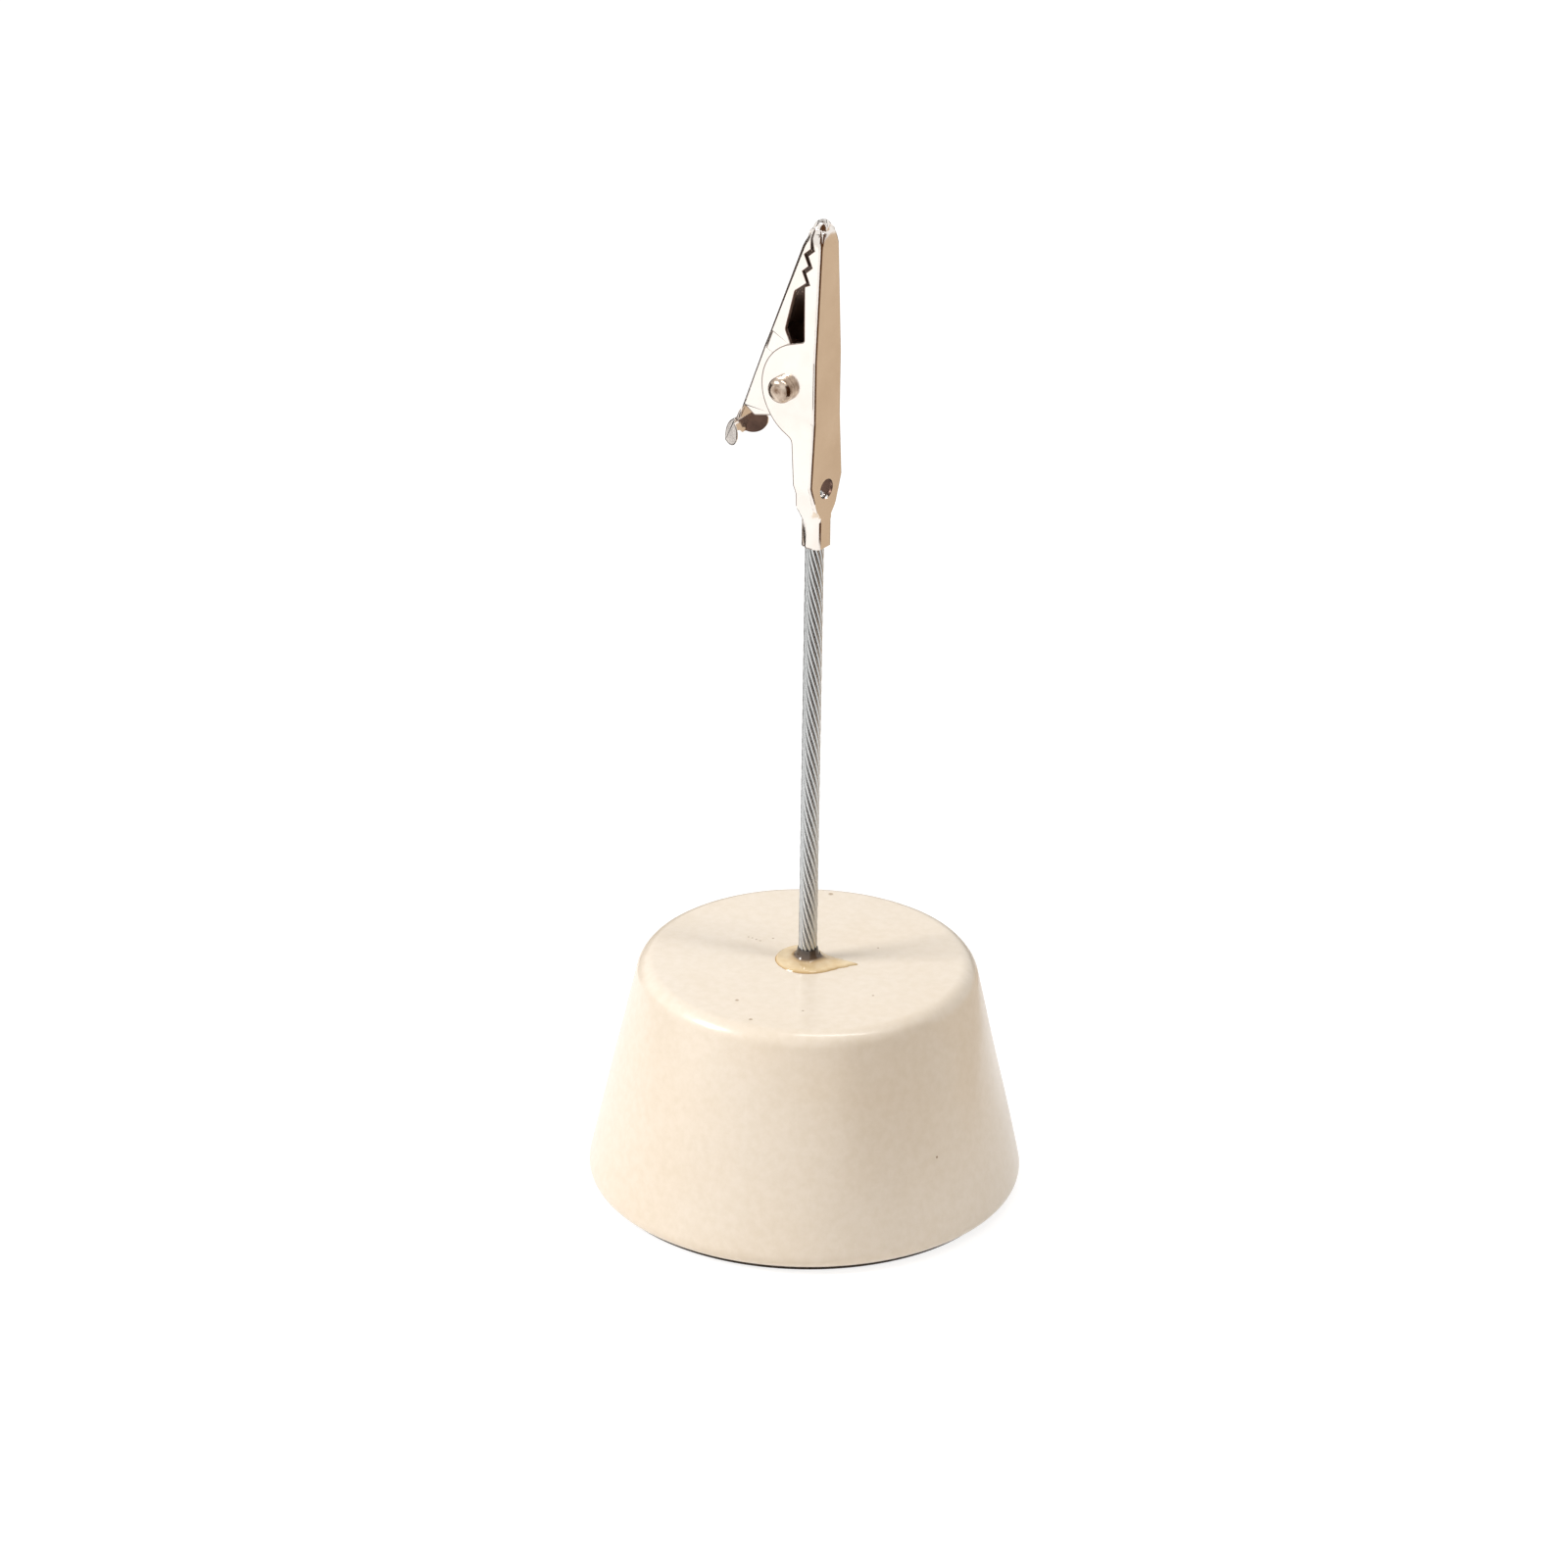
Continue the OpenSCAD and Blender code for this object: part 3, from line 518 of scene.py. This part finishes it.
def shade_edge_strips(bm, eased, all_round):
    """Marks a narrow strip beside the cut edges of the sheet's outer sides, or all round them, with a dull
    darker finish: painted shade. Beside the teeth and the slot it takes the inner side's painted shade."""
    eased = set(eased)
    sides = [f for f in bm.faces if f not in eased and f.normal.y * f.calc_center_median().y > 0
             and abs(f.normal.y) > 0.8]
    rim = bmesh.ops.inset_region(bm, faces=sides, thickness=EDGE_STRIP * MM, depth=0, use_even_offset=False,
                                 use_boundary=True)["faces"]
    for face in rim:
        at = face.calc_center_median() / MM
        cut = any(other in eased for edge in face.edges for other in edge.link_faces)
        if cut and SLOT_LOW < at.z < NOSE_LOW:
            face.material_index = INNER_PAINTED_SHADE
        elif (cut and at.x < FOLD_X) or all_round:
            face.material_index = EDGE_PAINTED_SHADE


def round_nose(bm):
    """Presses the nose into a bulb: its end, a box over NOSE_LOW, is drawn in towards its middle."""
    for k in range(9):
        at = Vector((0, 0, NOSE_LOW + (CLIP_TOP - NOSE_LOW) * (k / 9) ** 0.8)) * MM
        bmesh.ops.bisect_plane(bm, geom=bm.verts[:] + bm.edges[:] + bm.faces[:], dist=1e-8, plane_co=at,
                               plane_no=(0, 0, 1))
    for k in range(-4, 5):
        near = Vector((0, k * NOSE_HALF_W / 4.5, NOSE_LOW + 1)) * MM
        crown = [f for f in bm.faces if f.calc_center_median().z > NOSE_LOW * MM]
        around_crown = dict.fromkeys([e for f in crown for e in f.edges] + [v for f in crown for v in f.verts])
        bmesh.ops.bisect_plane(bm, geom=crown + list(around_crown), dist=1e-8, plane_co=near,
                               plane_no=(0, 1, 0))
    for v in bm.verts:
        u = (v.co.x / MM - NOSE_X) / NOSE_HALF_D
        w = v.co.y / MM / NOSE_HALF_W
        h = (v.co.z / MM - NOSE_LOW) / (CLIP_TOP - NOSE_LOW)
        if h > 0:
            side = max(abs(u), abs(w), 1e-6)
            over = max(side, h) / (side ** NOSE_POWER + h ** NOSE_POWER) ** (1 / NOSE_POWER)
            plan = side / (abs(u) ** NOSE_POWER + abs(w) ** NOSE_POWER + 1e-9) ** (1 / NOSE_POWER)
            drawn = over * (1 - h * (1 - min(plan, 1.0)))
            v.co.x = (NOSE_X + u * NOSE_HALF_D * drawn) * MM
            v.co.y = w * NOSE_HALF_W * drawn * MM
            v.co.z = (NOSE_LOW + h * (CLIP_TOP - NOSE_LOW) * over) * MM


def square_crimp(bm):
    """Flattens the crimp's tube under the jaw's back, and brings the back down into it at that width."""
    for v in bm.verts:
        x, y = v.co.x / MM, v.co.y / MM
        r = sqrt(x * x + y * y)
        over = v.co.z / MM - CRIMP_TOP
        # The tube's inner wall, and its side away from the flat, stay round
        if r < STEM_R + 0.2 or x < -0.2 or over > NECK_SQUARED:
            continue
        if over < 0.01:
            turn = atan2(abs(y), x)
            corner = atan2(CRIMP_FLAT, CRIMP_OUT)
            ease = max(0, 1 - (turn - corner) / (CRIMP_ROUND - corner))
            v.co.xy *= 1 / cos(turn) if turn < corner else 1 + (1 / cos(corner) - 1) * ease
        elif x > 0.9:
            # The back's outer side, or its inner side
            half = CRIMP_FLAT if x > 1.2 else CRIMP_FLAT - 0.3
            v.co.y = (half if y > 0 else -half) * MM if 0.01 < abs(y) < half else v.co.y


def pressed_jaw(name, node, finishes, body, walls, hollow_low):
    """A jaw, pressed from sheet: the CAD node's shape with its nose rounded and its cut edges eased. The
    finishes are those of its outer side, its inner side and the strips beside its cut edges; the last two are
    painted shade."""
    bm = sheet_of(node)
    bmesh.ops.bisect_plane(bm, geom=bm.verts[:] + bm.edges[:] + bm.faces[:], dist=1e-8,
                           plane_co=(0, 0, hollow_low * MM), plane_no=(0, 0, 1))
    bm.normal_update()
    # Faces that look across the hollow take the inner finish, painted shade; the rest take the plate
    for face in bm.faces:
        face.material_index = INNER_PAINTED_SHADE if inner_side(face, walls, hollow_low) else OUTER_FINISH
    edges = [e for e in bm.edges if len(e.link_faces) == 2 and e.calc_face_angle() > SHARP_EDGE]
    eased = bmesh.ops.bevel(bm, geom=edges, offset=EDGE_EASE * MM, segments=3, profile=0.5, affect="EDGES",
                            material=-1, clamp_overlap=True)["faces"]
    bm.normal_update()
    shade_edge_strips(bm, eased, all_round=body == "opening_jaw")
    round_nose(bm)
    square_crimp(bm)
    bmesh.ops.recalc_face_normals(bm, faces=bm.faces)
    jaw = piece(name, bm, finishes[0], node, sharp=32, body=body)
    evened = jaw.modifiers.new("flat faces stay flat", "WEIGHTED_NORMAL")
    evened.weight = 100
    evened.keep_sharp = True
    for made in finishes[1:]:
        jaw.data.materials.append(made)


def clip_rivet(made):
    """The rivet, both heads formed into low domes."""
    bm = turned([
        (0, -EARS_HALF - HEAD_H, 0),
        (HEAD_R, -EARS_HALF - HEAD_H, HEAD_DOME),
        (HEAD_R, -EARS_HALF, 0.05),
        (RIVET_R, -EARS_HALF, 0),
        (RIVET_R, EARS_HALF, 0),
        (HEAD_R, EARS_HALF, 0.05),
        (HEAD_R, EARS_HALF + HEAD_H, HEAD_DOME),
        (0, EARS_HALF + HEAD_H, 0),
    ], turns=96)
    bm.transform(Matrix.Translation((RIVET_X * MM, 0, RIVET_Z * MM)) @ Matrix.Rotation(pi / 2, 4, "X"))
    piece("clip_rivet", bm, made, "pivot_rivet")


def clip_spring(made):
    """The torsion spring: its coil round the rivet and a straight leg to each jaw."""
    def start_of(end, side):
        """The angle at which a straight leg to the end leaves the coil."""
        lean = degrees(atan2(end[1], end[0]))
        reach = sqrt(end[0] ** 2 + end[1] ** 2)
        return lean + side * (90 - degrees(asin(COIL_R / reach)))

    first = start_of(FIXED_LEG_END, 1)
    last = start_of(MOVING_LEG_END, -1)
    sweep = radians(360 * COIL_TURNS + (last - first) % 360)
    first = radians(first)
    out = Vector((cos(first), 0, sin(first)))
    along = Vector((-sin(first), 0, cos(first)))
    at = out * COIL_R + Vector((0, -COIL_HALF, 0))
    place = Matrix((out, (0, 1, 0), along)).transposed().to_4x4()
    place.translation = at * MM
    bm = bmesh.new()
    bmesh.ops.create_circle(bm, segments=WIRE_SIDES, radius=SPRING_WIRE_R * MM, matrix=place)
    rings = 150
    ring = bm.edges[:]
    spun = bmesh.ops.spin(bm, geom=bm.verts[:] + ring, cent=(0, 0, 0), axis=(0, -1, 0),
                          dvec=(0, 2 * COIL_HALF / rings * MM, 0), angle=sweep, steps=rings)
    far_ring = [e for e in spun["geom_last"] if isinstance(e, bmesh.types.BMEdge)]
    turned_by = Matrix.Rotation(sweep, 3, (0, -1, 0))
    far_at = turned_by @ (out * COIL_R)
    for edges, start, end in ((ring, out * COIL_R, FIXED_LEG_END), (far_ring, far_at, MOVING_LEG_END)):
        leg = bmesh.ops.extrude_edge_only(bm, edges=edges)
        bmesh.ops.translate(bm, vec=(Vector((end[0], 0, end[1])) - start) * MM,
                            verts=[v for v in leg["geom"] if isinstance(v, bmesh.types.BMVert)])
    bmesh.ops.holes_fill(bm, edges=[e for e in bm.edges if e.is_boundary], sides=0)
    bmesh.ops.recalc_face_normals(bm, faces=bm.faces)
    bm.transform(Matrix.Translation((RIVET_X * MM, 0, RIVET_Z * MM)))
    spring = piece("clip_spring", bm, made, "torsion_spring", sharp=50, body=None)
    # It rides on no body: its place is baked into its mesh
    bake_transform(spring)


def around(turn, away, height):
    """A point round the object: degrees to the right of the camera, distance and height in mm."""
    a = CAMERA_TURN + radians(turn)
    return Vector((sin(a) * away, -cos(a) * away, height)) * MM


def stand_camera():
    """The camera, as the photograph's."""
    right = Vector((cos(CAMERA_TURN), sin(CAMERA_TURN), 0))
    ahead = Vector((-sin(CAMERA_TURN) * cos(CAMERA_DOWN), cos(CAMERA_TURN) * cos(CAMERA_DOWN),
                    -sin(CAMERA_DOWN)))
    up = right.cross(ahead)
    place = -ahead * CAMERA_AWAY + right * CAMERA_RIGHT + up * CAMERA_UP
    level = right * cos(CAMERA_ROLL) + up * sin(CAMERA_ROLL)
    upright = up * cos(CAMERA_ROLL) - right * sin(CAMERA_ROLL)
    camera = bpy.data.objects.new("camera", bpy.data.cameras.new("camera"))
    bpy.context.scene.collection.objects.link(camera)
    # A long lens from far off, as the photograph has hardly any perspective
    camera.data.lens = 270
    camera.data.sensor_width = 36
    camera.data.clip_start = 0.01
    camera.data.clip_end = 20
    turn = Matrix((level, upright, -ahead)).transposed().to_4x4()
    turn.translation = place * MM
    camera.matrix_world = turn
    bpy.context.scene.camera = camera


def softbox(name, turn, rise, away, width, depth, power, code):
    """A soft area lamp at a distance in mm, its direction and rise in degrees, aimed at the object."""
    lamp = bpy.data.lights.new(name, "AREA")
    lamp.shape = "RECTANGLE"
    lamp.size = width * MM
    lamp.size_y = depth * MM
    lamp.energy = power
    lamp.color = colour(code)[:3]
    stand = bpy.data.objects.new(name, lamp)
    bpy.context.scene.collection.objects.link(stand)
    aim = Vector((0, 0, 40 * MM))
    spot = aim + around(turn, away * cos(radians(rise)), away * sin(radians(rise)))
    stand.matrix_world = (aim - spot).to_track_quat("-Z", "Y").to_matrix().to_4x4()
    stand.matrix_world.translation = spot


def screen(name, first, last, near, far, height, code):
    """A curved card between two directions in degrees: it lies on the floor from near to far, in mm, and
    rises at its far side. Only gloss sees it."""
    bm = bmesh.new()
    points = [bm.verts.new(around(first, r, z)) for r, z in ((near, 1), (far, 1), (far, height))]
    for a, b in zip(points, points[1:]):
        bm.edges.new((a, b))
    bmesh.ops.spin(bm, geom=bm.verts[:] + bm.edges[:], cent=(0, 0, 0), axis=(0, 0, 1), dvec=(0, 0, 0),
                   angle=radians(last - first), steps=24)
    mesh = bpy.data.meshes.new(name)
    bm.to_mesh(mesh)
    bm.free()
    card = bpy.data.objects.new(name, mesh)
    bpy.context.scene.collection.objects.link(card)
    paper = bpy.data.materials.new(name)
    paper.use_nodes = True
    tree = paper.node_tree
    tree.nodes.clear()
    glow = add(tree, "ShaderNodeEmission", {"Color": colour(code), "Strength": 1.0})
    add(tree, "ShaderNodeOutputMaterial", {"Surface": glow.outputs["Emission"]})
    mesh.materials.append(paper)
    card.visible_camera = False
    card.visible_diffuse = False
    card.visible_shadow = False
    card.visible_transmission = False


def seen(tree):
    """1 for what the camera sees, directly, in gloss or through glass."""
    path = add(tree, "ShaderNodeLightPath")
    first = add(tree, "ShaderNodeMath", {0: path.outputs["Is Camera Ray"], 1: path.outputs["Is Glossy Ray"]},
                operation="MAXIMUM")
    return add(tree, "ShaderNodeMath", {0: first.outputs["Value"], 1: path.outputs["Is Transmission Ray"]},
               operation="MAXIMUM").outputs["Value"]


def lay_floor():
    """A plain white floor that reads as the background and keeps the object's shadow, softly."""
    bm = bmesh.new()
    bmesh.ops.create_grid(bm, x_segments=4, y_segments=4, size=4.0)
    mesh = bpy.data.meshes.new("floor")
    bm.to_mesh(mesh)
    bm.free()
    floor = bpy.data.objects.new("floor", mesh)
    bpy.context.scene.collection.objects.link(floor)
    paper = bpy.data.materials.new("white_paper_floor")
    paper.use_nodes = True
    tree = paper.node_tree
    tree.nodes.clear()
    mesh.materials.append(paper)
    matt = add(tree, "ShaderNodeBsdfDiffuse", {"Color": colour("#EFEAE4")})
    pale = add(tree, "ShaderNodeBsdfDiffuse", {"Color": colour("#9A9A9A")})
    glow = add(tree, "ShaderNodeEmission", {"Color": (1, 1, 1, 1), "Strength": 0.82})
    lit = add(tree, "ShaderNodeAddShader", {0: pale.outputs["BSDF"], 1: glow.outputs["Emission"]})
    mixed = add(tree, "ShaderNodeMixShader", {0: seen(tree), 1: matt.outputs["BSDF"], 2: lit.outputs["Shader"]})
    add(tree, "ShaderNodeOutputMaterial", {"Surface": mixed.outputs["Shader"]})


def light_world(strength, code):
    """White where it is seen, and a soft even light elsewhere."""
    world = bpy.data.worlds.new("studio")
    bpy.context.scene.world = world
    world.use_nodes = True
    tree = world.node_tree
    tree.nodes.clear()
    soft = add(tree, "ShaderNodeBackground", {"Color": colour(code), "Strength": strength})
    white = add(tree, "ShaderNodeBackground", {"Color": (1, 1, 1, 1), "Strength": 1.0})
    mixed = add(tree, "ShaderNodeMixShader",
                {0: seen(tree), 1: soft.outputs["Background"], 2: white.outputs["Background"]})
    add(tree, "ShaderNodeOutputWorld", {"Surface": mixed.outputs["Shader"]})


bpy.context.scene.view_settings.view_transform = "Standard"
stand_camera()
lay_floor()
light_world(0.48, "#FFF7F0")
softbox("key_lamp", turn=-77, rise=38, away=700, width=220, depth=220, power=3.1, code="#FFFCFA")
softbox("top_lamp", turn=70, rise=78, away=600, width=40, depth=340, power=0.9, code="#FFFFFF")
screen("brown_card", first=22, last=88, near=95, far=450, height=500, code="#5A3B24")
screen("tan_card", first=88, last=150, near=60, far=450, height=40, code="#D4BCA1")
screen("back_card", first=150, last=184, near=130, far=450, height=60, code="#4A3F38")
screen("dark_card", first=-176, last=-134, near=100, far=450, height=120, code="#3A2E27")
screen("near_dark_card", first=-124, last=-86, near=100, far=450, height=120, code="#3A2E27")

plaster = lacquered_cast_plaster()
steel = drawn_steel_wire()
plate = bright_nickel("bright_nickel_sheet", "#EBE3DB", "#F6F0EA", 0.22)

cast_base(plaster)
foot_pad(foam_rubber())
adhesive(cured_epoxy())
strand_wire("core_wire", "stem_core_wire", steel, 0, 0)
for count, layer_r, layer in ((INNER_WIRES, INNER_LAYER_R, "inner"), (OUTER_WIRES, OUTER_LAYER_R, "outer")):
    for i in range(1, count + 1):
        strand_wire(f"{layer}_wire_{i}", f"stem_{layer}_wire_{i}", steel, layer_r, 2 * pi / count * i)
# The jaws' finishes: the plate, the inner side's dark painted shade, and the edge strips' darker painted shade
jaw_finishes = (plate, inner_painted_shade_steel(), bright_nickel("edge_strip_painted_shade", "#8E827A", "#A69A92", 0.5))
walls = [BVHTree.FromBMesh(sheet_of(node)) for node in ("fixed_jaw", "moving_jaw")]
pressed_jaw("stem_jaw", "fixed_jaw", jaw_finishes, "holder", walls, STEM_TOP)
pressed_jaw("thumb_jaw", "moving_jaw", jaw_finishes, "opening_jaw", walls, HEEL_Z)
# The rivet's clouds, 1.1 mm across, run from dark brown to cream: painted reflection of dark surroundings in
# its heads
clip_rivet(bright_nickel("rivet_nickel_painted_reflection", "#6F543F", "#DCCBBA", 0.3, cloud_mm=1.1))
clip_spring(tempered_spring_wire())
